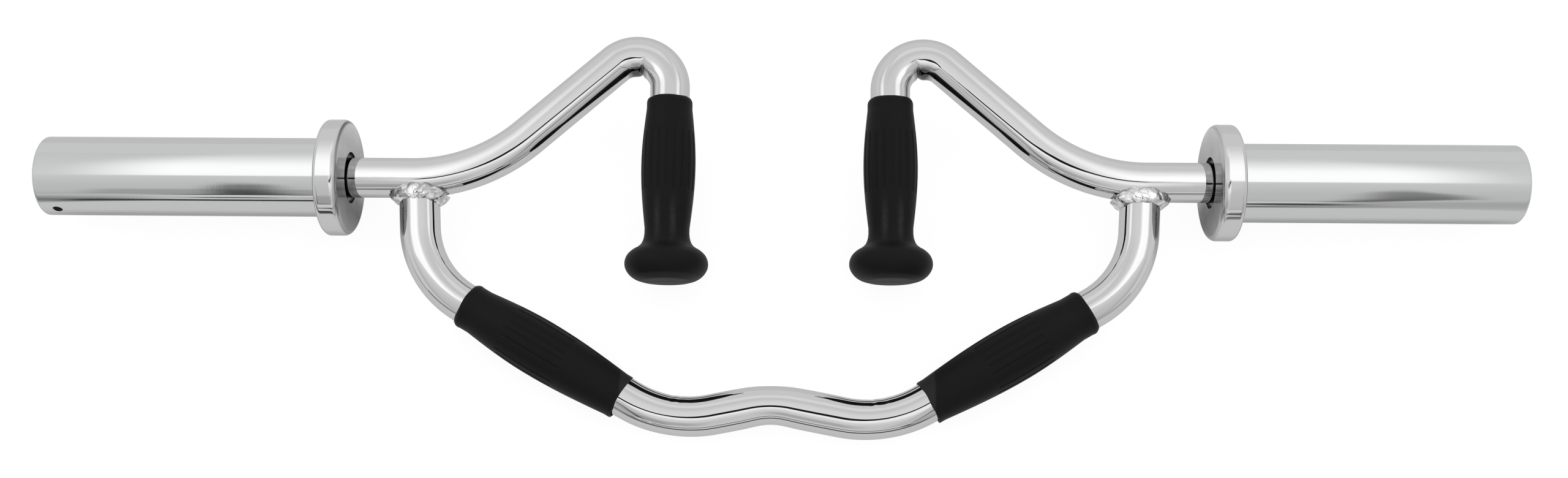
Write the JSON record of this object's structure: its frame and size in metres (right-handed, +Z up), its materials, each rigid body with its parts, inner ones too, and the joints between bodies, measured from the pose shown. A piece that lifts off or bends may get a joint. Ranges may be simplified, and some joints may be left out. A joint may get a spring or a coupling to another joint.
{
  "type": "tri-trap bar",
  "caption": "Bent steel lifting bar with neutral upright knob grips, angled lower grips and rotating plate sleeves with collars.",
  "frame": {"origin": "centre of the bar's footprint, on the floor that its collars and lower bar rest on", "axes": "+X along the sleeves, from the left sleeve to the right one as seen from above with the hooks away; +Y across the floor towards the hooked arms; +Z up from the floor"},
  "size_m": [0.9304, 0.2543, 0.0738],
  "materials": {
    "chrome": "mirror chrome plate on round steel bar",
    "satin_chrome": "satin-polished chrome with fine turning marks",
    "weld_metal": "lumpy weld, chromed over",
    "black_rubber": "matte moulded rubber",
    "zinc_plated_steel": "bright zinc plate",
    "bearing_bronze": "oiled sintered bronze",
    "black_steel": "black oxide"
  },
  "bodies": {
    "frame": {"lower_bar": "chrome", "left_arm_bar": "chrome", "right_arm_bar": "chrome", "left_weld_bead": "weld_metal", "right_weld_bead": "weld_metal", "left_upright_grip": "black_rubber", "right_upright_grip": "black_rubber", "left_angled_grip": "black_rubber", "right_angled_grip": "black_rubber", "left_thrust_washer": "zinc_plated_steel", "right_thrust_washer": "zinc_plated_steel", "left_retaining_washer": "zinc_plated_steel", "right_retaining_washer": "zinc_plated_steel", "left_snap_ring": "zinc_plated_steel", "right_snap_ring": "zinc_plated_steel"},
    "left_sleeve": {"left_collar": "satin_chrome", "left_sleeve_tube": "satin_chrome", "left_inner_bush": "bearing_bronze", "left_outer_bush": "bearing_bronze", "left_end_cap": "zinc_plated_steel", "left_cap_set_screw": "black_steel"},
    "right_sleeve": {"right_collar": "satin_chrome", "right_sleeve_tube": "satin_chrome", "right_inner_bush": "bearing_bronze", "right_outer_bush": "bearing_bronze", "right_end_cap": "zinc_plated_steel", "right_cap_set_screw": "black_steel"}
  },
  "joints": [
    {"name": "left_sleeve_spin", "type": "hinge", "parent": "frame", "child": "left_sleeve", "pos_m": [-0.27216, 0.03432, 0.0369], "axis": [1, 0, 0], "continuous": true},
    {"name": "right_sleeve_spin", "type": "hinge", "parent": "frame", "child": "right_sleeve", "pos_m": [0.27216, 0.03432, 0.0369], "axis": [1, 0, 0], "continuous": true}
  ]
}
